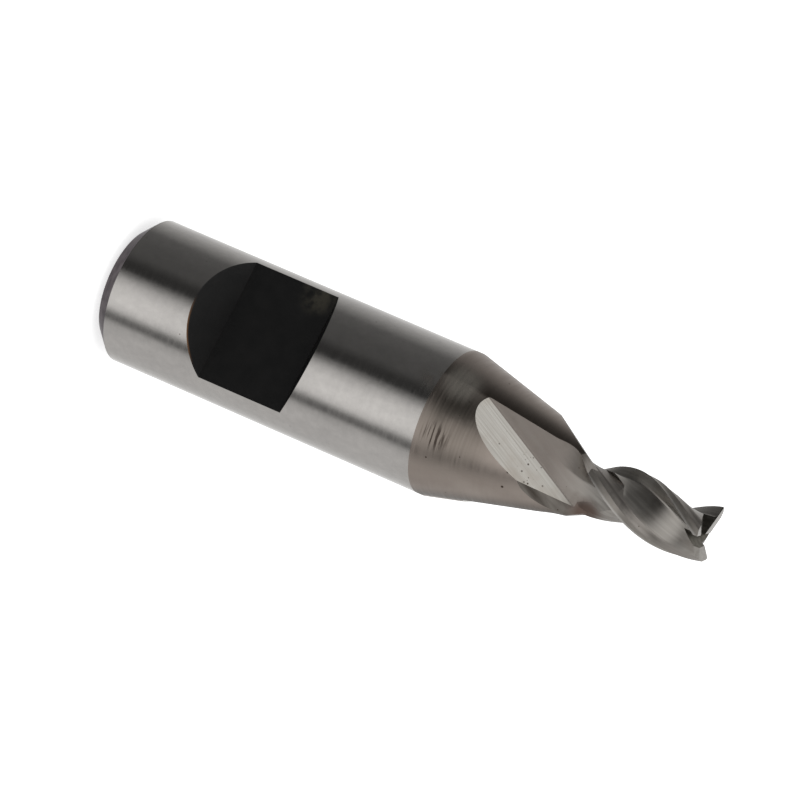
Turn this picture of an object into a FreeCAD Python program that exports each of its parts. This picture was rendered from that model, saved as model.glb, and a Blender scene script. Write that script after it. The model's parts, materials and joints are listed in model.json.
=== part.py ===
import FreeCAD, Part
import math
import os

# A short end mill ground from one bar of steel. It stands on the back of its shank,
# with its axis on +Z, its tip at the top and the clamping flat facing +X.
# Sizes are in millimetres and degrees.

# Shank
shank_diameter = 6.0
back_chamfer = 0.62

# Clamping flat, a pocket with two sloping end walls
flat_start = 5.06
flat_end = 8.84
flat_from_axis = 1.57
flat_back_wall_run = 1.03
flat_front_wall_run = 0.76
seam_inset = 8.0

# Neck cone and cutting end. The head is all that lies in front of the shank.
overall_length = 26.37
head_length = 11.44
cone_half_angle = 14.2
cutting_diameter = 2.5
tooth_count = 3

# Helix, right hand, with its cutting edges towards rising angles. The end edges stand a
# little behind the helix, where the gashes cut its front away.
helix_lead = 12.3
helix_tip_angle = 145.4
tip_edge_angle = 140.4

# Flute section, seen from the cutting edge of its tooth
rake_angle = 8.0
rake_height = 0.42
root_round = 0.16
gullet_radius = 0.8
gullet_angle = 64.0
gullet_round = 0.9
heel_radius = 1.1
heel_angle = 92.0

# Run-out of the flutes, where the grinding wheel left the cone. Its side left the wall
# and its rim the leaf, two planes that meet in a valley through the wheel's corner.
wheel_stop = 6.3
wheel_corner_radius = 0.888
wheel_corner_angle = 82.9
leaf_angle = 24.5
leaf_tilt = 30.9
wall_angle = 69.6
wall_tilt = 8.4
wheel_round = 0.06
wall_blend_start = 6.8
wall_blend_end = 4.4
back_blend_start = 5.4
back_blend_end = 3.4

# Relief behind the cutting edges, and the plane facet that ends it on the cone
land_angle = 15.5
land_heel_radius = 1.2
relief_floor_radius = 1.03
relief_floor_angle = 31.0
relief_back_radius = 0.8
relief_back_angle = 62.0
relief_stop_radius = 1.29
relief_stop_angle = 50.0
relief_stop_tilt = 30.4
land_length = 5.27

# End teeth: each end edge dips towards the axis and falls away behind in two steps.
# The long tooth passes the axis.
end_dish = 5.0
end_land_width = 0.42
end_land_relief = 8.0
end_back_relief = 30.0
end_centre_shift = 0.36
end_line_lead = 0.16
end_line_start = 0.5
long_tooth = 1

# Gashes in front of the end edges, with one lead, depth and rise of the floor per tooth.
# A lead is a distance ahead of the tooth's own radius.
gash_rim_leads = [0.13, -0.05, 0.0]
gash_axis_leads = [-0.25, 0.13, 0.0]
gash_depths = [0.31, 0.59, 0.54]
gash_rises = [8.5, 8.5, 37.0]
gash_radius = 0.69
gash_slope = 22.7

# Spare length by which cutters reach out of the steel
clear = 1.0
section_step = 0.5

shank_radius = shank_diameter / 2
cutting_radius = cutting_diameter / 2
tooth_pitch = 360.0 / tooth_count
cone_start = overall_length - head_length
reach = shank_radius + clear
wheel_stop_z = overall_length - wheel_stop
along_axis = FreeCAD.Vector(0, 0, 1)
centre = FreeCAD.Vector(0, 0, 0)


def polar(radius, angle, z=0.0):
    turn = math.radians(angle)
    return FreeCAD.Vector(radius * math.cos(turn), radius * math.sin(turn), z)


def edge_angle(z):
    """Angle of the first tooth's cutting edge at a height."""
    return helix_tip_angle + (z - overall_length) * 360.0 / helix_lead


def behind(radius, angle, z):
    """A point at an angle behind the first cutting edge, which is less than zero ahead of it."""
    return polar(radius, edge_angle(z) - angle, z)


def closed_wire(points):
    return Part.makePolygon(points + points[:1])


def turned(shape, index):
    """The shape moved from the first tooth to another."""
    copy = shape.copy()
    copy.rotate(centre, along_axis, index * tooth_pitch)
    return copy


def beyond_plane(point, normal):
    """A block that fills the side of a plane that its normal points to."""
    size = 2 * overall_length
    block = Part.makeBox(size, size, size, FreeCAD.Vector(-size / 2, -size / 2, 0))
    block.Placement = FreeCAD.Placement(point, FreeCAD.Rotation(along_axis, normal))
    return block


def revolved(outline, start, sweep):
    """Solid of an outline of radii and heights, turned about the axis from an angle over a sweep."""
    half = Part.Face(closed_wire([polar(radius, start, z) for radius, z in outline]))
    return half.revolve(centre, along_axis, sweep)


def blank():
    """The turned and ground bar: chamfer, shank, neck, cone and cutting cylinder.
    Two seams along the shank, inside the flat's width, part the strips of wall in line with
    the flat from the rest of the round."""
    seam = math.degrees(math.acos(flat_from_axis / shank_radius)) - seam_inset
    cone_length = (shank_radius - cutting_radius) / math.tan(math.radians(cone_half_angle))
    shank = [
        (0.0, 0.0),
        (shank_radius - back_chamfer, 0.0),
        (shank_radius, back_chamfer),
        (shank_radius, cone_start),
        (0.0, cone_start),
    ]
    head = [
        (0.0, cone_start),
        (shank_radius, cone_start),
        (cutting_radius, cone_start + cone_length),
        (cutting_radius, overall_length),
        (0.0, overall_length),
    ]
    flat_side = revolved(shank, -seam, 2 * seam)
    round_side = revolved(shank, seam, 360 - 2 * seam)
    return flat_side.fuse([round_side, revolved(head, 0, 360)])


def flat_cutter():
    """Trapezium bar that leaves the clamping flat with its two sloping end walls."""
    spread = (reach - flat_from_axis) / (shank_radius - flat_from_axis)
    outline = [
        (flat_from_axis, flat_start),
        (flat_from_axis, flat_end),
        (reach, flat_end + flat_front_wall_run * spread),
        (reach, flat_start - flat_back_wall_run * spread),
    ]
    face = Part.Face(closed_wire([FreeCAD.Vector(x, -reach, z) for x, z in outline]))
    return face.extrude(FreeCAD.Vector(0, 2 * reach, 0))


def tilted_normal(angle, tilt, z):
    """Unit normal at an angle behind the edge, tilted towards the tip."""
    flat = behind(math.cos(math.radians(tilt)), angle, z)
    return FreeCAD.Vector(flat.x, flat.y, math.sin(math.radians(tilt)))


def line_crossing(normal_a, reach_a, normal_b, reach_b):
    """Where two lines of a level section cross, each given by its normal and its distance."""
    det = normal_a.x * normal_b.y - normal_a.y * normal_b.x
    x = (reach_a * normal_b.y - reach_b * normal_a.y) / det
    y = (reach_b * normal_a.x - reach_a * normal_b.x) / det
    return FreeCAD.Vector(x, y, 0)


def runout_points(z):
    """Flute section left by the wheel where it stopped: the wall and the leaf are planes."""
    corner = behind(wheel_corner_radius, -wheel_corner_angle, wheel_stop_z)
    leaf = tilted_normal(-leaf_angle, leaf_tilt, wheel_stop_z)
    wall = tilted_normal(-wall_angle, wall_tilt, wheel_stop_z)
    level = FreeCAD.Vector(0, 0, z)
    valley = line_crossing(leaf, leaf.dot(corner - level), wall, wall.dot(corner - level))
    valley.z = z
    along_wall = FreeCAD.Vector(wall.y, -wall.x, 0).normalize()
    along_leaf = FreeCAD.Vector(-leaf.y, leaf.x, 0).normalize()
    root = valley + along_wall * gullet_radius
    top = valley + along_wall * reach
    side = valley + along_leaf * reach
    return [
        top,
        root + along_wall * root_round,
        root,
        root - along_wall * root_round,
        valley + along_wall * wheel_round,
        valley,
        valley + along_leaf * wheel_round,
        side,
        top + side - valley,
    ]


def helix_points(z):
    """Flute section along the teeth: rake face, round root, floor and tooth back."""
    outward = polar(1, edge_angle(z) + rake_angle)
    edge = behind(cutting_radius, 0, z)
    root = edge - outward * rake_height
    valley = behind(gullet_radius, -gullet_angle, z)
    heel = behind(heel_radius, -heel_angle, z)
    floor = (valley - root).normalize()
    back = (heel - valley).normalize()
    top = edge + outward * cutting_radius
    side = heel + back * cutting_radius
    return [
        top,
        root + outward * root_round,
        root,
        root + floor * root_round,
        valley + (root - valley) * gullet_round,
        valley,
        heel,
        side,
        top + side - valley,
    ]


def blend_share(z, start, end):
    """Share of the helix at a height, from none to all between two distances below the tip."""
    share = (z - overall_length + start) / (start - end)
    share = min(max(share, 0.0), 1.0)
    return share * share * (3 - 2 * share)


def rounded(start, corner, end):
    """Edge that rounds a corner, in line with both of its sides."""
    curve = Part.BezierCurve()
    curve.setPoles([start, corner, end])
    return curve.toShape()


def flute_wire(z):
    """The flute section at a height, blended from the run-out into the helix. The wall turns
    into the rake face, and the valley and the leaf into the floor and the back."""
    shares = [blend_share(z, wall_blend_start, wall_blend_end)] * 4
    shares += [blend_share(z, back_blend_start, back_blend_end)] * 5
    pairs = zip(runout_points(z), helix_points(z), shares)
    points = [a * (1 - share) + b * share for a, b, share in pairs]
    top, rake, root, floor, before, valley, heel, side, outer = points
    edges = [
        Part.makeLine(top, rake),
        rounded(rake, root, floor),
        Part.makeLine(floor, before),
        rounded(before, valley, heel),
        Part.makeLine(heel, side),
        Part.makeLine(side, outer),
        Part.makeLine(outer, top),
    ]
    return Part.Wire(edges)


def section_heights(start, end):
    """Even heights from start to end, about one section step apart."""
    count = math.ceil((end - start) / section_step)
    return [start + (end - start) * i / count for i in range(count + 1)]


def loft(wire_at, start, end):
    """Solid through the wires that a function gives at even heights."""
    return Part.makeLoft([wire_at(z) for z in section_heights(start, end)], True, False)


def relief_wire(z):
    """Section of the relief cutter: the land falls away behind the cutting edge."""
    outside = 2 * reach
    middle_angle = (relief_back_angle - land_angle) / 2
    points = [
        behind(cutting_radius, -land_angle / 2, z),
        behind(cutting_radius, 0, z),
        behind(land_heel_radius, land_angle, z),
        behind(relief_floor_radius, relief_floor_angle, z),
        behind(relief_back_radius, relief_back_angle, z),
        behind(outside, relief_back_angle, z),
        behind(outside, middle_angle, z),
        behind(outside, -land_angle / 2, z),
    ]
    return closed_wire(points)


def relief_cutter():
    """Relief along one tooth. It starts level, or before that where a tilted plane lets it."""
    band = loft(relief_wire, cone_start, overall_length + clear)
    normal = tilted_normal(relief_stop_angle, relief_stop_tilt, wheel_stop_z)
    foot = behind(relief_stop_radius, relief_stop_angle, wheel_stop_z)
    land_foot = FreeCAD.Vector(0, 0, overall_length - land_length)
    run_in = band.common(beyond_plane(foot, normal))
    return run_in.fuse(band.common(beyond_plane(land_foot, along_axis)))


def end_point(x, y, z=0.0, index=0):
    """A point near the tip, by its place along the end edge of a tooth and ahead of it."""
    angle = tip_edge_angle + index * tooth_pitch
    return polar(x, angle, z) + polar(y, angle + 90)


def end_sector(index):
    """Prism over the part of the end between one end edge and the next one behind it."""
    outline = [
        end_point(-end_centre_shift, end_line_lead, index=long_tooth),
        end_point(end_line_start, end_line_lead, index=index),
        end_point(2 * reach, end_line_lead, index=index),
        polar(4 * reach, tip_edge_angle + (index - 0.5) * tooth_pitch),
        end_point(2 * reach, end_line_lead, index=index - 1),
        end_point(end_line_start, end_line_lead, index=index - 1),
    ]
    base = FreeCAD.Vector(0, 0, overall_length - reach)
    face = Part.Face(closed_wire([base + point for point in outline]))
    return face.extrude(along_axis * 2 * reach)


def end_relief_cutters(index):
    """Land and back relief of one end tooth, which dips towards the axis, as two cutters."""
    dip = math.tan(math.radians(end_dish))
    land_fall = math.tan(math.radians(end_land_relief))
    cutters = []
    for relief, start in ((end_land_relief, 0.0), (end_back_relief, end_land_width)):
        fall = math.tan(math.radians(relief))
        foot = end_point(cutting_radius, -start, overall_length - start * land_fall, index)
        normal = along_axis - end_point(dip, fall, index=index)
        cutters.append(end_sector(index).common(beyond_plane(foot, normal)))
    return cutters


def gash_cutter(index):
    """Wedge with a face in line with the end edge and a floor that rises to the middle."""
    rim_lead = gash_rim_leads[index % len(gash_rim_leads)]
    axis_lead = gash_axis_leads[index % len(gash_axis_leads)]
    depth = gash_depths[index % len(gash_depths)]
    rim = end_point(cutting_radius, rim_lead, index=index)
    inner = end_point(0, axis_lead, index=index)
    slope = math.tan(math.radians(gash_slope))
    rise = math.tan(math.radians(gash_rises[index % len(gash_rises)]))
    foot = end_point(gash_radius, 0, overall_length - depth, index)
    floor_normal = along_axis + end_point(slope, -rise, index=index)
    face = beyond_plane(rim, along_axis.cross(rim - inner))
    return face.common(beyond_plane(foot, floor_normal))


def end_mill():
    body = blank().cut(flat_cutter())
    cutters = [loft(flute_wire, cone_start, overall_length + clear), relief_cutter()]
    for index in range(tooth_count):
        for cutter in cutters:
            body = body.cut(turned(cutter, index))
    for index in range(tooth_count):
        for cutter in end_relief_cutters(index):
            body = body.cut(cutter)
        body = body.cut(gash_cutter(index))
    return body


os.makedirs("parts", exist_ok=True)
tool = end_mill()
tool.exportStep("parts/end_mill.step")
print("end_mill solids", len(tool.Solids), "faces", len(tool.Faces), "valid", tool.isValid(),
      "volume", round(tool.Volume, 3))
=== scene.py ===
import json
import math

import bmesh
import bpy
from mathutils import Matrix, Vector


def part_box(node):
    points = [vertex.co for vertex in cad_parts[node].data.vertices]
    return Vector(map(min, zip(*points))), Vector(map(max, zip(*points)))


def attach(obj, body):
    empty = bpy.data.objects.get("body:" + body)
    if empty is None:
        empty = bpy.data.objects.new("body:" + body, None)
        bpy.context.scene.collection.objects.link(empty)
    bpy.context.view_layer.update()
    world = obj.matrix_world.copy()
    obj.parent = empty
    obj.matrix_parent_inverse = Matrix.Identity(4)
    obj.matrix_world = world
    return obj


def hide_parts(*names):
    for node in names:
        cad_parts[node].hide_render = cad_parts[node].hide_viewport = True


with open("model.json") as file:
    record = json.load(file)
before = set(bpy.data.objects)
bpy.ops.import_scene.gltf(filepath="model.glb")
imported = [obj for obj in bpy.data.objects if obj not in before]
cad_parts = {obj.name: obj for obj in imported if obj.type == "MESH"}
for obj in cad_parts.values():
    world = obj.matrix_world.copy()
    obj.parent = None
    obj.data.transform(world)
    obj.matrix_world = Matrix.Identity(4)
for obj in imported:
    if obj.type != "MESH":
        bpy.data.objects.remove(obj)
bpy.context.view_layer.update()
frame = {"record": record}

# Sizes are in millimetres and degrees. The steel is cut at that scale and then brought to metres.
MM = 0.001
overall_length = round(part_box("end_mill")[1].z / MM, 3)
shank_radius = frame["record"]["mounts"][0]["dims"]["r_mm"]

# Shank and clamping flat
back_chamfer = 0.62
flat_start = 5.06
flat_end = 8.84
flat_from_axis = 1.57
flat_back_wall_run = 1.03
flat_front_wall_run = 0.76

# Neck cone and teeth
head_length = 11.44
ground_margin = 0.23
cone_half_angle = 14.2
cutting_radius = 1.25
tooth_count = 3
helix_lead = 12.3
helix_tip_angle = 145.4
tip_edge_angle = 140.4

# Flute section
rake_angle = -6.0
rake_height = 0.5
root_round = 0.08
gullet_radius = 0.8
gullet_angle = 64.0
gullet_round = 0.9
heel_radius = 1.1
heel_angle = 92.0

# Run-out of the flutes
wheel_stop = 6.3
wheel_corner_radius = 0.888
wheel_corner_angle = 82.9
leaf_angle = 24.5
leaf_tilt = 30.9
wall_angle = 69.6
wall_tilt = 8.4
wheel_round = 0.06
wall_blend_start = 6.8
wall_blend_end = 4.4
back_blend_start = 5.4
back_blend_end = 3.4

# Relief behind the cutting edges
land_angle = 15.5
land_heel_radius = 1.2
relief_floor_radius = 1.03
relief_floor_angle = 31.0
relief_back_radius = 0.8
relief_back_angle = 62.0
relief_stop_radius = 1.29
relief_stop_angle = 50.0
relief_stop_tilt = 30.4
land_length = 5.07
land_start_tilt = 30.0

# End teeth and gashes
end_dish = 5.0
end_land_width = 0.42
end_land_relief = 8.0
end_back_relief = 30.0
end_centre_shift = 0.36
end_line_lead = 0.16
end_line_start = 0.5
long_tooth = 1
gash_rim_leads = [0.13, 0.08, 0.0]
gash_axis_leads = [-0.25, 0.13, 0.0]
gash_depths = [0.31, 0.59, 0.8]
gash_rises = [8.5, 8.5, 37.0]
gash_radius = 0.69
gash_slope = 22.7

# Reach of the cutters beyond the steel, and how finely the steel is made
clear = 1.0
section_step = 0.06
turned_segments = 384
root_segments = 10
gullet_segments = 24
side_segments = 6
sharp_edge_angle = 16.0

cone_start = overall_length - head_length
reach = shank_radius + clear
wheel_stop_z = overall_length - wheel_stop
land_start = overall_length - land_length
tooth_pitch = 360.0 / tooth_count
along_axis = Vector((0, 0, 1))

# Corners of each side of a block, whose first four corners are one of its ends
block_sides = [[0, 1, 2, 3], [4, 5, 6, 7], [0, 1, 5, 4], [1, 2, 6, 5], [2, 3, 7, 6], [3, 0, 4, 7]]

# Kinds of surface, in the order of the steel's material slots
SURFACES = ["shank", "chamfer", "pocket", "neck", "rake", "gullet", "back", "land", "relief",
            "end_land", "end_back", "gash"]


def kind(name):
    return SURFACES.index(name)


def polar(radius, angle, z=0.0):
    turn = math.radians(angle)
    return Vector((radius * math.cos(turn), radius * math.sin(turn), z))


def edge_angle(z):
    """Angle of the first tooth's cutting edge at a height."""
    return helix_tip_angle + (z - overall_length) * 360.0 / helix_lead


def behind(radius, angle, z):
    """A point at an angle behind the first cutting edge, which is less than zero ahead of it."""
    return polar(radius, edge_angle(z) - angle, z)


def new_solid(name, points, faces):
    """A closed mesh object, with each face given as its corners and its kind of surface."""
    mesh = bpy.data.meshes.new(name)
    mesh.from_pydata(points, [], [corners for corners, _ in faces])
    for surface in SURFACES:
        mesh.materials.append(bpy.data.materials.get(surface) or bpy.data.materials.new(surface))
    mesh.polygons.foreach_set("material_index", [surface for _, surface in faces])
    work = bmesh.new()
    work.from_mesh(mesh)
    bmesh.ops.recalc_face_normals(work, faces=work.faces)
    work.to_mesh(mesh)
    work.free()
    solid = bpy.data.objects.new(name, mesh)
    bpy.context.scene.collection.objects.link(solid)
    return solid


def heights(start, end, step):
    count = math.ceil((end - start) / step)
    return [start + (end - start) * i / count for i in range(count + 1)]


def loft(name, ring_at, start, end, side_kinds):
    """Solid through the rings that a function gives, with a kind of surface for each side."""
    rings = [ring_at(z) for z in heights(start, end, section_step)]
    size = len(rings[0])
    points = [point for ring in rings for point in ring]
    faces = [(list(range(size)), side_kinds[0])]
    faces.append(([len(points) - size + i for i in range(size)], side_kinds[0]))
    for level in range(len(rings) - 1):
        for side in range(size):
            a = level * size + side
            b = level * size + (side + 1) % size
            faces.append(([a, b, b + size], side_kinds[side]))
            faces.append(([a, b + size, a + size], side_kinds[side]))
    return new_solid(name, points, faces)


def turned(solid, index):
    """A copy of a cutter, moved from the first tooth to another."""
    copy = solid.copy()
    copy.data = solid.data.copy()
    copy.data.transform(Matrix.Rotation(math.radians(index * tooth_pitch), 4, "Z"))
    bpy.context.scene.collection.objects.link(copy)
    return copy


def changed(solid, others, operation):
    """The solid with other solids cut from it, or kept only where they are. The others go."""
    for other in others:
        step = solid.modifiers.new("step", "BOOLEAN")
        step.object = other
        step.operation = operation
        step.solver = "MANIFOLD"
    graph = bpy.context.evaluated_depsgraph_get()
    mesh = bpy.data.meshes.new_from_object(solid.evaluated_get(graph))
    solid.modifiers.clear()
    solid.data = mesh
    for other in others:
        bpy.data.objects.remove(other)
    return solid


def beyond_plane(point, normal, surface):
    """A block that fills the side of a plane that its normal points to."""
    half = overall_length
    corners = [Vector((x, y, z)) for z in (0, 2 * half) for x, y in
               ((-half, -half), (half, -half), (half, half), (-half, half))]
    turn = along_axis.rotation_difference(normal).to_matrix()
    return new_solid("block", [point + turn @ corner for corner in corners],
                     [(side, kind(surface)) for side in block_sides])


def blank():
    """The turned and ground bar: chamfer, shank, neck, cone and cutting cylinder."""
    cone_length = (shank_radius - cutting_radius) / math.tan(math.radians(cone_half_angle))
    outline = [
        (shank_radius - back_chamfer, 0.0, "chamfer"),
        (shank_radius, back_chamfer, "shank"),
        (shank_radius, cone_start - ground_margin, "neck"),
        (shank_radius, cone_start, "neck"),
        (cutting_radius, cone_start + cone_length, "neck"),
        (cutting_radius, overall_length, "neck"),
    ]
    points = []
    faces = []
    for radius, z, _ in outline:
        points += [polar(radius, i * 360.0 / turned_segments, z) for i in range(turned_segments)]
    for level in range(len(outline) - 1):
        for i in range(turned_segments):
            a = level * turned_segments + i
            b = level * turned_segments + (i + 1) % turned_segments
            corners = [a, b, b + turned_segments, a + turned_segments]
            faces.append((corners, kind(outline[level][2])))
    first = list(range(turned_segments))
    faces.append((first, kind("chamfer")))
    faces.append(([len(points) - turned_segments + i for i in first], kind("end_land")))
    return new_solid("end_mill_steel", points, faces)


def flat_cutter():
    """Trapezium bar that leaves the clamping flat with its two sloping end walls."""
    spread = (reach - flat_from_axis) / (shank_radius - flat_from_axis)
    outline = [
        (flat_from_axis, flat_start),
        (flat_from_axis, flat_end),
        (reach, flat_end + flat_front_wall_run * spread),
        (reach, flat_start - flat_back_wall_run * spread),
    ]
    points = [Vector((x, y, z)) for y in (-reach, reach) for x, z in outline]
    return new_solid("flat_cutter", points, [(side, kind("pocket")) for side in block_sides])


def tilted_normal(angle, tilt, z):
    """Unit normal at an angle behind the edge, tilted towards the tip."""
    flat = behind(math.cos(math.radians(tilt)), angle, z)
    return Vector((flat.x, flat.y, math.sin(math.radians(tilt))))


def wheel_normals():
    """Normals of the leaf and of the wall, the two planes that the grinding wheel left."""
    leaf = tilted_normal(-leaf_angle, leaf_tilt, wheel_stop_z)
    wall = tilted_normal(-wall_angle, wall_tilt, wheel_stop_z)
    return leaf, wall


def wheel_corner():
    """A point of the valley between the leaf and the wall."""
    return behind(wheel_corner_radius, -wheel_corner_angle, wheel_stop_z)


def line_crossing(normal_a, reach_a, normal_b, reach_b, z):
    """Where two lines of a level section cross, each given by its normal and its distance."""
    det = normal_a.x * normal_b.y - normal_a.y * normal_b.x
    x = (reach_a * normal_b.y - reach_b * normal_a.y) / det
    y = (reach_b * normal_a.x - reach_a * normal_b.x) / det
    return Vector((x, y, z))


def runout_points(z):
    """Flute section left by the wheel where it stopped: the wall and the leaf are planes."""
    leaf, wall = wheel_normals()
    offset = wheel_corner() - Vector((0, 0, z))
    valley = line_crossing(leaf, leaf.dot(offset), wall, wall.dot(offset), z)
    along_wall = Vector((wall.y, -wall.x, 0)).normalized()
    along_leaf = Vector((-leaf.y, leaf.x, 0)).normalized()
    root = valley + along_wall * gullet_radius
    top = valley + along_wall * reach
    side = valley + along_leaf * reach
    return [top, root + along_wall * root_round, root, root - along_wall * root_round,
            valley + along_wall * wheel_round, valley, valley + along_leaf * wheel_round,
            side, top + side - valley]


def helix_points(z):
    """Flute section along the teeth: rake face, round root, floor and tooth back."""
    outward = polar(1, edge_angle(z) + rake_angle)
    edge = behind(cutting_radius, 0, z)
    root = edge - outward * rake_height
    valley = behind(gullet_radius, -gullet_angle, z)
    heel = behind(heel_radius, -heel_angle, z)
    floor = (valley - root).normalized()
    back = (heel - valley).normalized()
    top = edge + outward * cutting_radius
    side = heel + back * cutting_radius
    return [top, root + outward * root_round, root, root + floor * root_round,
            valley.lerp(root, gullet_round), valley, heel, side, top + side - valley]


def between(start, end, count):
    """Points from start to just before end."""
    return [start.lerp(end, i / count) for i in range(count)]


def rounded(start, corner, end, count):
    """Points of the curve that rounds a corner, from its start to just before its end."""
    shares = [i / count for i in range(count)]
    return [start.lerp(corner, t).lerp(corner.lerp(end, t), t) for t in shares]


def blend_share(z, start, end):
    """Share of the helix at a height, from none to all between two distances below the tip."""
    share = (z - overall_length + start) / (start - end)
    share = min(max(share, 0.0), 1.0)
    return share * share * (3 - 2 * share)


def flute_ring(z):
    """The flute section at a height, blended from the run-out into the helix.

    The four points of the wall turn into the helix before the other five.
    """
    shares = [blend_share(z, wall_blend_start, wall_blend_end)] * 4
    shares += [blend_share(z, back_blend_start, back_blend_end)] * 5
    blends = [a.lerp(b, share) for a, b, share in zip(runout_points(z), helix_points(z), shares)]
    top, rake, root, floor, before, valley, heel, side, outer = blends
    ring = between(top, rake, side_segments)
    ring += rounded(rake, root, floor, root_segments)
    ring += between(floor, before, side_segments)
    ring += rounded(before, valley, heel, gullet_segments)
    return ring + between(heel, side, side_segments) + [side, outer]


def flute_cutter():
    sides = [kind("rake")] * (side_segments + root_segments // 2)
    sides += [kind("gullet")] * (root_segments - root_segments // 2 + side_segments + gullet_segments)
    sides += [kind("back")] * (side_segments + 2)
    return loft("flute_cutter", flute_ring, cone_start, overall_length + clear, sides)


def relief_ring(z):
    """Section of the relief cutter: the land falls away behind the cutting edge."""
    outside = 2 * reach
    middle_angle = (relief_back_angle - land_angle) / 2
    return [
        behind(cutting_radius, -land_angle / 2, z),
        behind(cutting_radius, 0, z),
        behind(land_heel_radius, land_angle, z),
        behind(relief_floor_radius, relief_floor_angle, z),
        behind(relief_back_radius, relief_back_angle, z),
        behind(outside, relief_back_angle, z),
        behind(outside, middle_angle, z),
        behind(outside, -land_angle / 2, z),
    ]


def relief_cutters():
    """Relief along one tooth, in two parts, each let in by a tilted plane."""
    kinds = [kind("land"), kind("land")] + [kind("relief")] * 6
    normal = tilted_normal(relief_stop_angle, relief_stop_tilt, wheel_stop_z)
    foot = behind(relief_stop_radius, relief_stop_angle, wheel_stop_z)
    land_normal = tilted_normal(land_angle, land_start_tilt, land_start)
    land_foot = behind(land_heel_radius, land_angle, land_start)
    cutters = []
    for point, direction in ((foot, normal), (land_foot, land_normal)):
        band = loft("relief_cutter", relief_ring, cone_start, overall_length + clear, kinds)
        cutters.append(changed(band, [beyond_plane(point, direction, "relief")], "INTERSECT"))
    return cutters


def end_point(x, y, z=0.0, index=0):
    """A point near the tip, by its place along the end edge of a tooth and ahead of it."""
    angle = tip_edge_angle + index * tooth_pitch
    return polar(x, angle, z) + polar(y, angle + 90)


def end_sector(index, surface):
    """Prism over the part of the end between one end edge and the next one behind it."""
    outline = [
        end_point(-end_centre_shift, end_line_lead, index=long_tooth),
        end_point(end_line_start, end_line_lead, index=index),
        end_point(2 * reach, end_line_lead, index=index),
        polar(4 * reach, tip_edge_angle + (index - 0.5) * tooth_pitch),
        end_point(2 * reach, end_line_lead, index=index - 1),
        end_point(end_line_start, end_line_lead, index=index - 1),
    ]
    count = len(outline)
    points = [point + Vector((0, 0, overall_length + z)) for z in (-reach, reach) for point in outline]
    faces = [list(range(count)), list(range(count, 2 * count))]
    faces += [[i, (i + 1) % count, (i + 1) % count + count, i + count] for i in range(count)]
    return new_solid("end_sector", points, [(face, kind(surface)) for face in faces])


def end_relief_cutters(index):
    """Land and back relief of one end tooth, which dips towards the axis."""
    dip = math.tan(math.radians(end_dish))
    land_fall = math.tan(math.radians(end_land_relief))
    cutters = []
    steps = ((end_land_relief, 0.0, "end_land"), (end_back_relief, end_land_width, "end_back"))
    for relief, start, surface in steps:
        fall = math.tan(math.radians(relief))
        foot = end_point(cutting_radius, -start, overall_length - start * land_fall, index)
        normal = (along_axis - end_point(dip, fall, index=index)).normalized()
        sector = end_sector(index, surface)
        cutters.append(changed(sector, [beyond_plane(foot, normal, surface)], "INTERSECT"))
    return cutters


def gash_cutter(index):
    """Wedge with a face in line with the end edge and a floor that rises to the middle."""
    rim = end_point(cutting_radius, gash_rim_leads[index], index=index)
    inner = end_point(0, gash_axis_leads[index], index=index)
    slope = math.tan(math.radians(gash_slope))
    rise = math.tan(math.radians(gash_rises[index]))
    foot = end_point(gash_radius, 0, overall_length - gash_depths[index], index)
    floor_normal = (along_axis + end_point(slope, -rise, index=index)).normalized()
    face = beyond_plane(rim, along_axis.cross(rim - inner).normalized(), "gash")
    return changed(face, [beyond_plane(foot, floor_normal, "gash")], "INTERSECT")


def tool_steel():
    """The whole tool, one piece of steel, with sharp edges kept sharp and the rest smooth."""
    cutters = [flat_cutter()]
    flute = flute_cutter()
    reliefs = relief_cutters()
    for index in range(tooth_count):
        cutters += [turned(cutter, index) for cutter in [flute, *reliefs]]
    for index in range(tooth_count):
        cutters += end_relief_cutters(index)
        cutters.append(gash_cutter(index))
    for cutter in [flute, *reliefs]:
        bpy.data.objects.remove(cutter)
    steel = changed(blank(), cutters, "DIFFERENCE")
    steel.data.transform(Matrix.Scale(MM, 4))
    steel.data.polygons.foreach_set("use_smooth", [True] * len(steel.data.polygons))
    steel.data.set_sharp_from_angle(angle=math.radians(sharp_edge_angle))
    return steel


# Camera, at the photograph's viewing angle, with the size of one of its pixels at the tool
focal_pixels = 6700.0
image_pixels = 800.0
pixel_size = 0.03927
camera_elevation_sine = 0.373
camera_azimuth = 9.6
camera_roll = 23.36
aim_height = 7.885
aim_pixel = (300.0, 358.3)
sensor_width = 36.0
nearest_shown = 10.0


def add_camera():
    distance = focal_pixels * pixel_size
    cosine = math.sqrt(1 - camera_elevation_sine ** 2)
    back = polar(cosine, camera_azimuth, camera_elevation_sine)
    axis_in_view = (along_axis - back * camera_elevation_sine) / cosine
    across = back.cross(axis_in_view)
    roll = math.radians(camera_roll)
    right = axis_in_view * math.cos(roll) + across * math.sin(roll)
    up = across * math.cos(roll) - axis_in_view * math.sin(roll)
    aside = (aim_pixel[0] - image_pixels / 2) * pixel_size
    above = -(aim_pixel[1] - image_pixels / 2) * pixel_size
    place = along_axis * aim_height + back * distance - right * aside - up * above
    data = bpy.data.cameras.new("camera")
    data.sensor_width = sensor_width
    data.lens = sensor_width * focal_pixels / image_pixels
    data.clip_start = nearest_shown * MM
    camera = bpy.data.objects.new("camera", data)
    camera.matrix_world = Matrix.Translation(place * MM) @ Matrix((right, up, back)).transposed().to_4x4()
    bpy.context.scene.collection.objects.link(camera)
    bpy.context.scene.camera = camera


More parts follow.
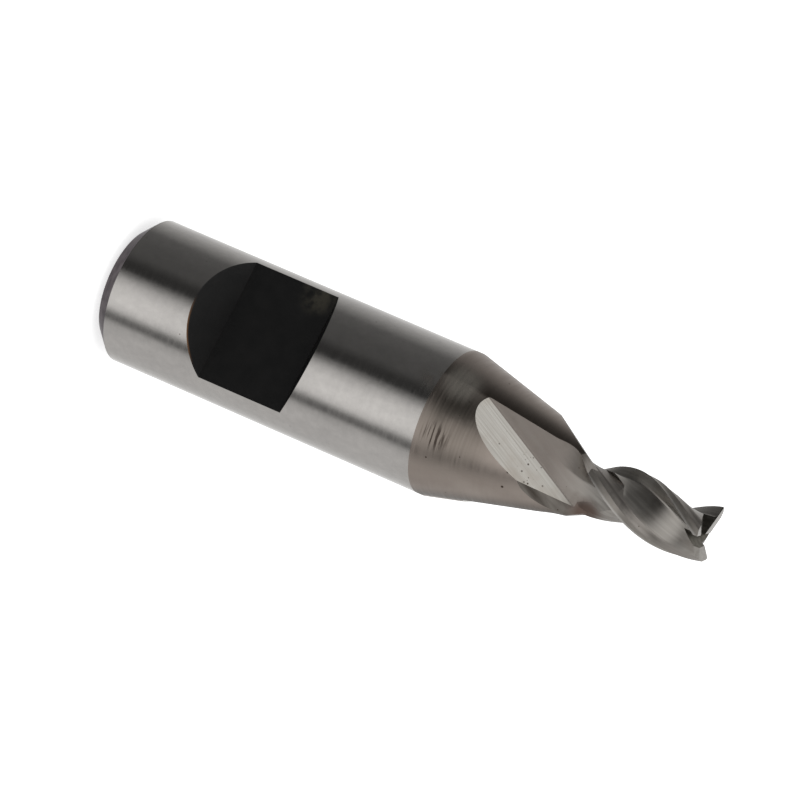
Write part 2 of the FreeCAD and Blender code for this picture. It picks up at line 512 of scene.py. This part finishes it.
def node(tree, form, inputs=None, **settings):
    """A new node with its settings, its values, and links where an input is another's output."""
    made = tree.nodes.new("ShaderNode" + form)
    for name, value in settings.items():
        setattr(made, name, value)
    for name, value in (inputs or {}).items():
        if isinstance(value, bpy.types.NodeSocket):
            tree.links.new(value, made.inputs[name])
        else:
            made.inputs[name].default_value = value
    return made


def math_node(tree, operation, first, second=0.0, third=0.0):
    return node(tree, "Math", {0: first, 1: second, 2: third}, operation=operation).outputs[0]


def vector_node(tree, operation, *inputs):
    """A vector node's outputs, which are a vector and, for some operations, a Value."""
    return node(tree, "VectorMath", dict(enumerate(inputs)), operation=operation).outputs


def product(tree, first, second):
    return math_node(tree, "MULTIPLY", first, second)


def mean(tree, first, second):
    return product(tree, math_node(tree, "ADD", first, second), 0.5)


def faded(tree, mask, strength):
    """A mask at less than its full strength."""
    return product(tree, mask, strength)


def ramp_node(tree, value, stops):
    """A colour ramp with its stops given as (place, colour)."""
    made = node(tree, "ValToRGB", {"Fac": value})
    ramp = made.color_ramp
    while len(ramp.elements) < len(stops):
        ramp.elements.new(1.0)
    for element, (place, colour) in zip(ramp.elements, stops):
        element.position = place
        element.color = (*colour, 1.0)
    return made.outputs["Color"]


def smooth_step(tree, value, start, end):
    """Zero where a value is at the start, one where it is at the end, and smooth between them."""
    made = node(tree, "MapRange", {"Value": value, "From Min": start, "From Max": end},
                interpolation_type="SMOOTHSTEP")
    return made.outputs["Result"]


# Nearly all of a cloudy pattern lies between these values
pattern_low = 0.3
pattern_high = 0.7


def varied(tree, pattern, at_low, at_high):
    """A number that runs between two values as a cloudy pattern goes from its low to its high."""
    made = node(tree, "MapRange", {"Value": pattern, "From Min": pattern_low, "From Max": pattern_high,
                                   "To Min": at_low, "To Max": at_high})
    return made.outputs["Result"]


def raised(tree, number, mask, amount):
    """A number, raised by an amount where a mask is one."""
    return math_node(tree, "MULTIPLY_ADD", mask, amount, number)


def toned(tree, pattern, dark, light):
    """A colour that runs from dark to light with a cloudy pattern."""
    return ramp_node(tree, pattern, [(pattern_low, dark), (pattern_high, light)])


def over(tree, mask, top, under):
    """One colour laid over another by a mask. Each is a colour or another node's output."""
    layers = [layer if isinstance(layer, bpy.types.NodeSocket) else (*layer, 1.0)
              for layer in (under, top)]
    return node(tree, "MixRGB", {0: mask, 1: layers[0], 2: layers[1]}).outputs[0]


def noise(tree, place, scale, detail, seed=0.0):
    """Cloudy pattern around one half, with its own number of clouds to a millimetre each way."""
    moved = vector_node(tree, "MULTIPLY_ADD", place, scale, (seed, seed, seed))[0]
    return node(tree, "TexNoise", {"Vector": moved, "Scale": 1.0, "Detail": detail}).outputs[0]


def pits(tree, place, spacing, radius, share):
    """Small round pits of sizes around a radius, in some of the cells of a given spacing."""
    smallest = 0.3
    soft_rim = 0.5
    cells = node(tree, "TexVoronoi", {"Vector": place, "Scale": 1 / spacing})
    picks = node(tree, "SeparateColor", {0: cells.outputs["Color"]}).outputs
    chosen = math_node(tree, "LESS_THAN", picks["Red"], share)
    usual = radius / spacing
    size = math_node(tree, "MULTIPLY_ADD", picks["Green"], usual, smallest * usual)
    near = math_node(tree, "DIVIDE", cells.outputs["Distance"], size)
    return product(tree, smooth_step(tree, near, 1.0, soft_rim), chosen)


def spot(tree, place, centre, radius):
    """One around a point of the tool, falling to none at a distance from it."""
    solid_share = 0.3
    distance = vector_node(tree, "DISTANCE", place, centre)["Value"]
    return smooth_step(tree, distance, radius, solid_share * radius)


def ragged_spot(tree, place, centre, radius, pattern, start, end):
    """A spot that shows only where a pattern has passed from a start to an end value."""
    return product(tree, spot(tree, place, centre, radius), smooth_step(tree, pattern, start, end))


def along(tree, place, direction):
    """How far a place lies in a direction."""
    return vector_node(tree, "DOT_PRODUCT", place, direction)["Value"]


def from_axis(tree, place):
    level = vector_node(tree, "MULTIPLY", place, (1, 1, 0))[0]
    return vector_node(tree, "LENGTH", level)["Value"]


def swung(tree, place, angle):
    """The place turned about the tool's axis."""
    return node(tree, "VectorRotate", {"Vector": place, "Angle": angle}, rotation_type="Z_AXIS").outputs[0]


def untwisted(tree, place):
    """The place with the helix taken out, so that a pattern drawn out along Z follows the teeth."""
    return swung(tree, place, product(tree, along(tree, place, along_axis), -2 * math.pi / helix_lead))


def on_first_flute(tree, place, lag=0.0):
    """The place turned by whole tooth pitches to the flute that runs out towards +X.

    The turned places start at the cutting edge, or at an angle behind it.
    """
    parts = node(tree, "SeparateXYZ", {0: place}).outputs
    angle = math_node(tree, "ARCTAN2", parts["Y"], parts["X"])
    pitch = math.radians(tooth_pitch)
    start = math.radians(edge_angle(wheel_stop_z) - lag)
    turns = math_node(tree, "DIVIDE", math_node(tree, "SUBTRACT", angle, start), pitch)
    return swung(tree, place, product(tree, math_node(tree, "FLOOR", turns), -pitch))


def valley_lines(tree, place, fineness, seed=0.0):
    """Straight fine lines that the grinding wheel left beside the valley of a flute's run-out."""
    drawn_out = 0.25
    leaf, wall = wheel_normals()
    valley = leaf.cross(wall).normalized()
    folded = on_first_flute(tree, place)
    ways = (valley, leaf.cross(valley), wall.cross(valley))
    parts = [along(tree, folded, way) for way in ways]
    drawn = node(tree, "CombineXYZ", dict(enumerate(parts))).outputs[0]
    return noise(tree, drawn, scale=(drawn_out, fineness, fineness), detail=4.0, seed=seed)


def beside_the_wall(tree, place):
    """One on the neck at the upper edge of each flute's wall, falling to none away from it."""
    reach_below = 0.9
    reach_above = 0.15
    fold_lag = 45.0
    wall = wheel_normals()[1]
    level = wall.dot(wheel_corner())
    distance = along(tree, on_first_flute(tree, place, fold_lag), wall)
    return product(tree, smooth_step(tree, distance, level - reach_below, level),
                   smooth_step(tree, distance, level + reach_above, level))


def steel_surface(name):
    """Shader of a kind of surface, and the place on it in millimetres."""
    material = bpy.data.materials[name]
    material.use_nodes = True
    tree = material.node_tree
    shader = tree.nodes["Principled BSDF"]
    shader.inputs["Metallic"].default_value = 1.0
    coordinates = node(tree, "TexCoord").outputs["Object"]
    place = vector_node(tree, "MULTIPLY", coordinates, (1 / MM, 1 / MM, 1 / MM))[0]
    return tree, shader, place


def finish(tree, shader, colour, roughness, height, depth):
    """Sets a surface's colour and roughness, and the depth in millimetres of the marks in it."""
    bump = node(tree, "Bump", {"Height": height, "Distance": depth * MM, "Strength": 1.0}).outputs[0]
    tree.links.new(colour, shader.inputs["Base Color"])
    tree.links.new(roughness, shader.inputs["Roughness"])
    tree.links.new(bump, shader.inputs["Normal"])


# Places of single marks, measured from the edge, the end or the tip that each lies beside
browned_corner_place = (flat_from_axis, -2.3, flat_end - 0.74)
rusty_rim_place = (2.68, 1.2, flat_start - 0.76)
dull_patch_place = (2.75, -1.1, cone_start - 0.2)
smudge_place = (2.62, 1.15, cone_start + 0.57)
pale_patch_place = (2.5, -1.2, cone_start + 0.57)
dark_patch_place = (2.7, -0.1, cone_start + 1.07)
# The side of the neck that faces the camera gets painted shade around this point.
neck_painted_shade_place = (2.4, 0.4, cone_start + 1.07)
pit_cluster_place = (1.09, 0.75, overall_length - 7.17)
# Spots of painted shade below the point of each leaf, on the relief and in the flute.
painted_shade_relief_place = (-0.11, 1.08, overall_length - 4.97)
painted_shade_flute_place = (-0.11, 1.08, overall_length - 4.87)
painted_shade_radius = 0.9

# The brown of every pit
pit_brown = (0.06, 0.042, 0.03)


def pitted_over(tree, place, spacing, radius, share, under):
    """A colour with small brown pits laid over it."""
    return over(tree, pits(tree, place, spacing, radius, share), top=pit_brown, under=under)


def ground_shank():
    """Ground bright, with faint clouds, fine marks around it and a dull patch beside the neck."""
    tree, shader, place = steel_surface("shank")
    clouds = noise(tree, place, scale=(0.9, 0.9, 0.5), detail=5.0)
    mottle = noise(tree, place, scale=(3.5, 3.5, 3.0), detail=5.0, seed=9.0)
    grain = noise(tree, place, scale=(5.0, 5.0, 7.0), detail=4.0, seed=7.0)
    marks = noise(tree, place, scale=(0.8, 0.8, 12.0), detail=3.0, seed=3.0)
    bright = toned(tree, mean(tree, clouds, mottle), dark=(0.52, 0.5, 0.479), light=(0.625, 0.6, 0.573))
    small_pits = pits(tree, place, spacing=0.5, radius=0.035, share=0.4)
    worn = over(tree, small_pits, top=(0.3, 0.28, 0.26), under=bright)
    patch = ragged_spot(tree, place, dull_patch_place, radius=1.1, pattern=clouds, start=0.44, end=0.58)
    dulled = over(tree, patch, top=(0.4, 0.37, 0.335), under=worn)
    roughness = raised(tree, varied(tree, marks, at_low=0.12, at_high=0.2), patch, amount=0.3)
    finish(tree, shader, dulled, roughness, height=math_node(tree, "ADD", grain, marks), depth=0.0013)


def dark_chamfer():
    """The back chamfer, dull and purple-grey from the heat treatment, and darker still as painted shade."""
    tree, shader, place = steel_surface("chamfer")
    shader.inputs["Specular Tint"].default_value = (0.66, 0.64, 0.65, 1.0)
    clouds = noise(tree, place, scale=(2.5, 2.5, 2.5), detail=4.0, seed=2.0)
    marks = noise(tree, place, scale=(0.8, 0.8, 14.0), detail=3.0, seed=5.0)
    # Heat tint, made darker still as painted shade.
    colour = toned(tree, clouds, dark=(0.06, 0.052, 0.056), light=(0.15, 0.132, 0.138))
    roughness = varied(tree, marks, at_low=0.26, at_high=0.38)
    finish(tree, shader, colour, roughness, height=marks, depth=0.0015)


def blackened_pocket():
    """The flat and its end walls keep their black oxide, a little browned at a corner and a rim."""
    rust_width = 0.09
    rust_fade = 0.3
    tree, shader, place = steel_surface("pocket")
    shader.inputs["Metallic"].default_value = 0.0
    shader.inputs["Specular IOR Level"].default_value = 0.22
    clouds = noise(tree, place, scale=(1.6, 1.6, 1.6), detail=5.0, seed=4.0)
    grain = noise(tree, place, scale=(9.0, 9.0, 9.0), detail=3.0, seed=6.0)
    oxide = toned(tree, clouds, dark=(0.006, 0.006, 0.006), light=(0.0095, 0.0092, 0.009))
    corner = ragged_spot(tree, place, browned_corner_place, radius=1.0, pattern=clouds,
                         start=0.42, end=0.62)
    brown_patch_and_painted_shade = over(tree, corner, top=(0.042, 0.038, 0.028), under=oxide)
    rim = smooth_step(tree, from_axis(tree, place), start=shank_radius - rust_width, end=shank_radius)
    height = along(tree, place, along_axis)
    at_back = smooth_step(tree, height, start=flat_start, end=flat_start - rust_fade)
    rusty = product(tree, product(tree, rim, at_back), spot(tree, place, rusty_rim_place, radius=1.5))
    colour = over(tree, rusty, top=(0.2, 0.1, 0.045), under=brown_patch_and_painted_shade)
    finish(tree, shader, colour, varied(tree, grain, at_low=0.38, at_high=0.55), height=grain, depth=0.003)


def neck_colour(tree, place, clouds, marks, pale_patch):
    """Brown-grey, with a smudge, pits, a dark patch in front, painted shade on the side that faces the
    camera and a painted dark reflection beside the walls.
    """
    fresh = toned(tree, clouds, dark=(0.365, 0.312, 0.276), light=(0.44, 0.383, 0.34))
    streaked_shade_tone = toned(tree, marks, dark=(0.2, 0.172, 0.147), light=(0.31, 0.27, 0.234))
    # Painted shade on the side of the neck that faces the camera, streaked by the turning marks.
    front_painted_shade = faded(tree, spot(tree, place, neck_painted_shade_place, radius=2.4), strength=0.75)
    front_shaded = over(tree, front_painted_shade, top=streaked_shade_tone, under=fresh)
    smudge = ragged_spot(tree, place, smudge_place, radius=0.75, pattern=marks, start=0.53, end=0.42)
    smudged = over(tree, smudge, top=(0.075, 0.06, 0.05), under=front_shaded)
    pitted = pitted_over(tree, place, spacing=0.42, radius=0.06, share=0.6, under=smudged)
    # Painted dark reflection on the neck beside each flute's wall.
    wall_painted_reflection = faded(tree, beside_the_wall(tree, place), strength=0.85)
    darkened = over(tree, wall_painted_reflection, top=(0.085, 0.07, 0.058), under=pitted)
    dark_patch = ragged_spot(tree, place, dark_patch_place, radius=1.3, pattern=clouds,
                             start=0.35, end=0.55)
    dulled = over(tree, faded(tree, dark_patch, strength=0.75), top=(0.15, 0.135, 0.115), under=darkened)
    return over(tree, faded(tree, pale_patch, strength=0.8), top=(0.4, 0.375, 0.335), under=dulled)


def turned_neck():
    """Turned cone, with marks around it that are deepest beside the shank."""
    marked_length = 3.0
    tree, shader, place = steel_surface("neck")
    clouds = noise(tree, place, scale=(0.7, 0.7, 0.5), detail=5.0, seed=1.0)
    marks = noise(tree, place, scale=(0.7, 0.7, 11.0), detail=4.0, seed=8.0)
    pale_patch = ragged_spot(tree, place, pale_patch_place, radius=1.1, pattern=clouds, start=0.4, end=0.6)
    colour = neck_colour(tree, place, clouds, marks, pale_patch)
    roughness = raised(tree, varied(tree, marks, at_low=0.3, at_high=0.42), pale_patch, amount=0.25)
    height = along(tree, place, along_axis)
    near_shank = smooth_step(tree, height, start=cone_start + marked_length, end=cone_start)
    finish(tree, shader, colour, roughness, height=product(tree, marks, near_shank), depth=0.0015)


def leaf_of_the_runout():
    """The light plane where the wheel left each flute, with straight lines and clustered pits."""
    tree, shader, place = steel_surface("back")
    lines = valley_lines(tree, place, fineness=14.0)
    clouds = noise(tree, place, scale=(1.0, 1.0, 0.7), detail=4.0, seed=3.0)
    ground = toned(tree, lines, dark=(0.5, 0.475, 0.43), light=(0.67, 0.65, 0.605))
    tint = smooth_step(tree, clouds, start=0.4, end=0.75)
    tinted = over(tree, tint, top=(0.5, 0.455, 0.4), under=ground)
    cluster = product(tree, spot(tree, place, pit_cluster_place, radius=1.1),
                      pits(tree, place, spacing=0.17, radius=0.05, share=0.7))
    scattered = pits(tree, place, spacing=0.4, radius=0.045, share=0.6)
    pitted = over(tree, math_node(tree, "MAXIMUM", cluster, scattered), top=pit_brown, under=tinted)
    finish(tree, shader, pitted, varied(tree, lines, at_low=0.34, at_high=0.26), height=lines, depth=0.0015)


def flute_surface(name, dark, light, smoother):
    """Brown-grey wall of the run-out, and the flute beyond it in its own tones, lined along it, with
    painted shade below the leaf's point.
    """
    tree, shader, place = steel_surface(name)
    height = along(tree, place, along_axis)
    in_helix = smooth_step(tree, height, start=overall_length - wall_blend_start,
                           end=overall_length - wall_blend_end)
    in_runout = math_node(tree, "SUBTRACT", 1.0, in_helix)
    helical = noise(tree, untwisted(tree, place), scale=(7.0, 7.0, 0.4), detail=4.0, seed=2.0)
    straight = valley_lines(tree, place, fineness=6.0, seed=4.0)
    lines = math_node(tree, "ADD", product(tree, helical, in_helix), product(tree, straight, in_runout))
    clouds = noise(tree, place, scale=(1.1, 1.1, 0.8), detail=4.0, seed=5.0)
    wall = toned(tree, lines, dark=(0.3, 0.263, 0.238), light=(0.335, 0.3, 0.272))
    ground = over(tree, in_helix, top=toned(tree, lines, dark, light), under=wall)
    # Painted shade in the flute below the point of the leaf.
    painted_shade_spot = spot(tree, place, painted_shade_flute_place, painted_shade_radius)
    brown_patch_and_painted_shade = over(tree, painted_shade_spot, top=(0.17, 0.125, 0.105), under=ground)
    tint = smooth_step(tree, clouds, start=0.5, end=0.8)
    cloudy = over(tree, tint, top=(0.25, 0.22, 0.195), under=brown_patch_and_painted_shade)
    pitted = pitted_over(tree, place, spacing=0.4, radius=0.045, share=0.6, under=cloudy)
    roughness = raised(tree, varied(tree, lines, at_low=0.42, at_high=0.5), in_helix, amount=-smoother)
    finish(tree, shader, pitted, roughness, height=lines, depth=0.0008)


def land_behind_the_edge():
    """Land of each tooth, lined along the helix, with a painted highlight along the cutting edge."""
    highlight_depth = 0.03
    bright_depth = 0.01
    tree, shader, place = steel_surface("land")
    lines = noise(tree, untwisted(tree, place), scale=(8.0, 8.0, 1.6), detail=4.0, seed=4.0)
    clouds = noise(tree, place, scale=(2.2, 2.2, 1.6), detail=4.0, seed=4.0)
    ground = toned(tree, mean(tree, lines, clouds), dark=(0.31, 0.286, 0.258), light=(0.43, 0.402, 0.368))
    # Painted highlight along the cutting edge.
    edge = smooth_step(tree, from_axis(tree, place), start=cutting_radius - highlight_depth,
                       end=cutting_radius - bright_depth)
    edge_highlighted = over(tree, faded(tree, edge, strength=0.7), top=(0.66, 0.64, 0.61), under=ground)
    pitted = pitted_over(tree, place, spacing=0.3, radius=0.03, share=0.5, under=edge_highlighted)
    finish(tree, shader, pitted, varied(tree, lines, at_low=0.5, at_high=0.62), height=lines, depth=0.0015)


def relief_behind_the_land():
    """Darker relief, with bands of painted shade where it starts beside the leaf and painted shade below
    the leaf's point.
    """
    bands_length = 0.6
    tree, shader, place = steel_surface("relief")
    lines = noise(tree, untwisted(tree, place), scale=(9.0, 9.0, 0.5), detail=4.0, seed=6.0)
    bands = valley_lines(tree, place, fineness=2.2, seed=1.0)
    height = along(tree, place, along_axis)
    in_helix = smooth_step(tree, height, start=land_start - bands_length, end=land_start)
    # Dark bands of painted shade where the relief starts beside the leaf.
    painted_shade_bands = toned(tree, bands, dark=(0.075, 0.064, 0.054), light=(0.25, 0.23, 0.206))
    lined = toned(tree, lines, dark=(0.28, 0.257, 0.234), light=(0.4, 0.372, 0.343))
    ground = over(tree, in_helix, top=lined, under=painted_shade_bands)
    # Painted shade on the relief below the point of the leaf.
    painted_shade_spot = spot(tree, place, painted_shade_relief_place, painted_shade_radius)
    brown_patch_and_painted_shade = over(tree, painted_shade_spot, top=(0.15, 0.11, 0.092), under=ground)
    pitted = pitted_over(tree, place, spacing=0.3, radius=0.03, share=0.5, under=brown_patch_and_painted_shade)
    finish(tree, shader, pitted, varied(tree, lines, at_low=0.34, at_high=0.44), height=lines, depth=0.0015)


def end_surface(name, seed, dark, light, smooth, rough):
    """A ground surface across the tip, with fine marks in every direction."""
    tree, shader, place = steel_surface(name)
    grain = noise(tree, place, scale=(7.0, 7.0, 7.0), detail=4.0, seed=seed)
    colour = toned(tree, grain, dark, light)
    finish(tree, shader, colour, varied(tree, grain, smooth, rough), height=grain, depth=0.0015)


# Studio, as levels of light by compass angle around the tool, and one level overhead.
# A bright panel stands beside the camera, a dark gap on each side of it, and a pale wall behind.
studio_levels = [
    (-180, 0.95), (-165, 0.98), (-150, 0.74), (-126, 0.5), (-106, 0.3), (-88, 0.13), (-60, 0.1),
    (-36, 0.09), (-22, 0.04), (-10, 0.035), (-2, 0.26), (8, 0.62), (22, 0.86), (40, 0.95),
    (52, 0.78), (62, 0.22), (69, 0.14), (78, 0.52), (92, 0.62), (140, 0.6), (160, 0.7), (180, 0.95),
]
overhead_level = 0.85
overhead_start = 12.0
overhead_full = 34.0


def grey(level):
    return (level, level, level)


def looked_at(tree):
    """One for rays from the camera or through glass, which see the white background."""
    path = node(tree, "LightPath").outputs
    return math_node(tree, "MAXIMUM", path["Is Camera Ray"], path["Is Transmission Ray"])


def add_world():
    """White behind the tool, and the studio's levels in all that it lights and mirrors."""
    world = bpy.data.worlds.new("studio")
    bpy.context.scene.world = world
    world.use_nodes = True
    tree = world.node_tree
    tree.nodes.clear()
    ray = node(tree, "TexCoord").outputs["Generated"]
    parts = node(tree, "SeparateXYZ", {0: ray}).outputs
    angle = math_node(tree, "ARCTAN2", parts["Y"], parts["X"])
    share_of_turn = math_node(tree, "MULTIPLY_ADD", angle, 0.5 / math.pi, 0.5)
    stops = [((azimuth + 180) / 360, grey(level)) for azimuth, level in studio_levels]
    around = ramp_node(tree, share_of_turn, stops)
    height = math_node(tree, "ARCSINE", parts["Z"])
    above = smooth_step(tree, height, math.radians(overhead_start), math.radians(overhead_full))
    level = over(tree, above, top=grey(overhead_level), under=around)
    lit = node(tree, "Background", {"Color": level, "Strength": 1.0})
    white = node(tree, "Background", {"Color": (*grey(1), 1), "Strength": 1.0})
    both = node(tree, "MixShader", {0: looked_at(tree), 1: lit.outputs[0], 2: white.outputs[0]})
    node(tree, "OutputWorld", {"Surface": both.outputs[0]})


# Floor: half its size in metres, the grey of its paint and the glow that the camera sees
floor_reach = 1.5
floor_paint = 0.9
floor_glow = 0.65


def add_floor():
    """Pale floor that takes the tool's shadow. Metal mirrors the studio and not the floor."""
    mesh = bpy.data.meshes.new("floor")
    corners = [(-1, -1), (1, -1), (1, 1), (-1, 1)]
    mesh.from_pydata([(x * floor_reach, y * floor_reach, 0) for x, y in corners], [], [(0, 1, 2, 3)])
    floor = bpy.data.objects.new("floor", mesh)
    bpy.context.scene.collection.objects.link(floor)
    material = bpy.data.materials.new("pale_floor")
    material.use_nodes = True
    tree = material.node_tree
    tree.nodes.clear()
    paint = node(tree, "BsdfDiffuse", {"Color": (*grey(floor_paint), 1)})
    strength = product(tree, looked_at(tree), floor_glow)
    glow = node(tree, "Emission", {"Color": (*grey(1), 1), "Strength": strength})
    pale = node(tree, "AddShader", {0: paint.outputs[0], 1: glow.outputs[0]})
    see_through = node(tree, "BsdfTransparent")
    mirrored = node(tree, "LightPath").outputs["Is Glossy Ray"]
    both = node(tree, "MixShader", {0: mirrored, 1: pale.outputs[0], 2: see_through.outputs[0]})
    node(tree, "OutputMaterial", {"Surface": both.outputs[0]})
    mesh.materials.append(material)


scene = bpy.context.scene
scene.view_settings.view_transform = "Standard"

steel = tool_steel()
ground_shank()
dark_chamfer()
blackened_pocket()
turned_neck()
leaf_of_the_runout()
flute_surface("gullet", dark=(0.36, 0.338, 0.31), light=(0.47, 0.446, 0.412), smoother=0.1)
# The rake's tones in the helix, darker than the gullet's, are painted shade.
flute_surface("rake", dark=(0.24, 0.226, 0.207), light=(0.33, 0.315, 0.29), smoother=0.0)
land_behind_the_edge()
relief_behind_the_land()
end_surface("end_land", 8.0, dark=(0.3, 0.285, 0.265), light=(0.4, 0.38, 0.355), smooth=0.28, rough=0.38)
end_surface("end_back", 8.0, dark=(0.25, 0.235, 0.215), light=(0.34, 0.32, 0.295), smooth=0.34, rough=0.44)
# The gashes' very dark tones are painted shade.
end_surface("gash", 4.0, dark=(0.095, 0.089, 0.075), light=(0.165, 0.155, 0.135), smooth=0.36, rough=0.46)
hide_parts("end_mill")
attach(steel, "root")

add_camera()
add_floor()
add_world()
